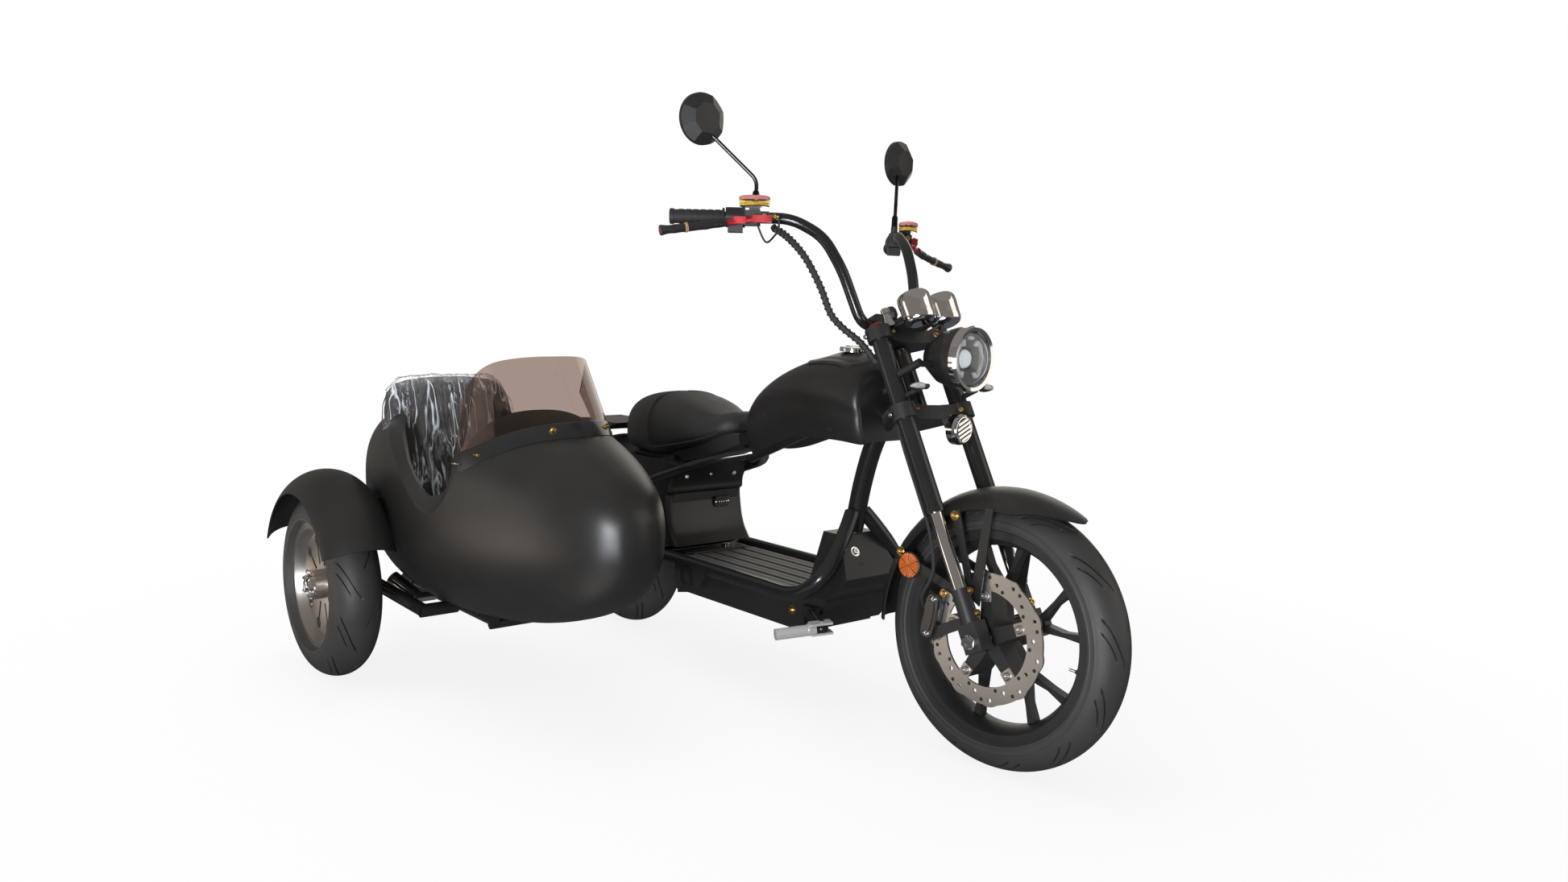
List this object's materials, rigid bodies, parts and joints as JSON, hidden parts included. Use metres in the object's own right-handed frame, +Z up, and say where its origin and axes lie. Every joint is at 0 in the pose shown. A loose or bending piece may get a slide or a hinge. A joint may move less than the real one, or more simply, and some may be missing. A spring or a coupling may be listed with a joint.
{
  "type": "electric chopper scooter with sidecar",
  "caption": "Matte black electric chopper scooter with raked fork, tall handlebar, step-through footboard and a rounded one-seat sidecar with a smoked windscreen.",
  "frame": {"origin": "on the ground below the middle of the vehicle's box", "axes": "+X forward, +Y to the rider's left, +Z up; the sidecar is on the rider's right, towards -Y"},
  "size_m": [2.1997, 1.5243, 1.4637],
  "materials": {
    "frame_black": "satin",
    "body_black": "matte",
    "mat_rubber": "matte",
    "seat_cover": "matte",
    "tyre": "matte",
    "chrome": "polished",
    "aluminium": "machined",
    "disc_steel": "brushed",
    "clear_lens": "clear",
    "smoked_screen": "smoked",
    "red_parts": "gloss"
  },
  "bodies": {
    "chassis": {"main_frame": "frame_black", "cradle_rails": "frame_black", "front_cover": "body_black", "battery_box": "body_black", "footboard": "mat_rubber", "rear_body": "body_black", "tank_cover": "body_black", "seat": "seat_cover", "rear_fender": "body_black", "rear_lamps": "red_parts", "swingarm": "frame_black", "rear_shocks": "chrome", "peg_brackets": "frame_black", "foot_pegs": "aluminium", "rear_carrier": "frame_black", "sidecar_frame": "frame_black", "sidecar_struts": "frame_black", "sidecar_tub": "body_black", "windscreen": "smoked_screen", "sidecar_seat": "seat_cover", "sidecar_fender": "body_black", "sidecar_arm": "frame_black", "sidecar_shock": "chrome"},
    "steering": {"upper_clamp": "frame_black", "lower_clamp": "frame_black", "fork_tubes": "frame_black", "stanchions": "chrome", "axle_clamps": "frame_black", "front_axle": "aluminium", "handlebar": "frame_black", "grips": "mat_rubber", "controls": "body_black", "levers": "red_parts", "reservoirs": "clear_lens", "mirrors": "body_black", "headlamp": "body_black", "headlamp_ring": "chrome", "headlamp_lens": "clear_lens", "gauge_pods": "chrome", "front_indicators": "clear_lens", "horn": "chrome", "front_fender": "body_black", "caliper": "aluminium", "brake_hose": "mat_rubber", "cable_loom": "mat_rubber"},
    "front_wheel": {"front_tyre": "tyre", "front_rim": "frame_black", "brake_disc": "disc_steel"},
    "rear_wheel": {"rear_tyre": "tyre", "rear_rim": "frame_black"},
    "sidecar_wheel": {"sidecar_tyre": "tyre", "sidecar_rim": "chrome"}
  },
  "joints": [
    {"name": "steering_turn", "type": "hinge", "parent": "chassis", "child": "steering", "pos_m": [0.7679, 0.2621, 0.27241], "axis": [-0.454, 0, 0.891], "range_deg": [-44, 32]},
    {"name": "front_wheel_spin", "type": "hinge", "parent": "steering", "child": "front_wheel", "pos_m": [0.80778, 0.2668, 0.29273], "axis": [-0.0931, 0.9945, -0.0475], "continuous": true},
    {"name": "rear_wheel_spin", "type": "hinge", "parent": "chassis", "child": "rear_wheel", "pos_m": [-0.692, 0.2621, 0.2435], "axis": [0, 1, 0], "continuous": true},
    {"name": "sidecar_wheel_spin", "type": "hinge", "parent": "chassis", "child": "sidecar_wheel", "pos_m": [-0.666, -0.6689, 0.2435], "axis": [0, 1, 0], "continuous": true}
  ]
}
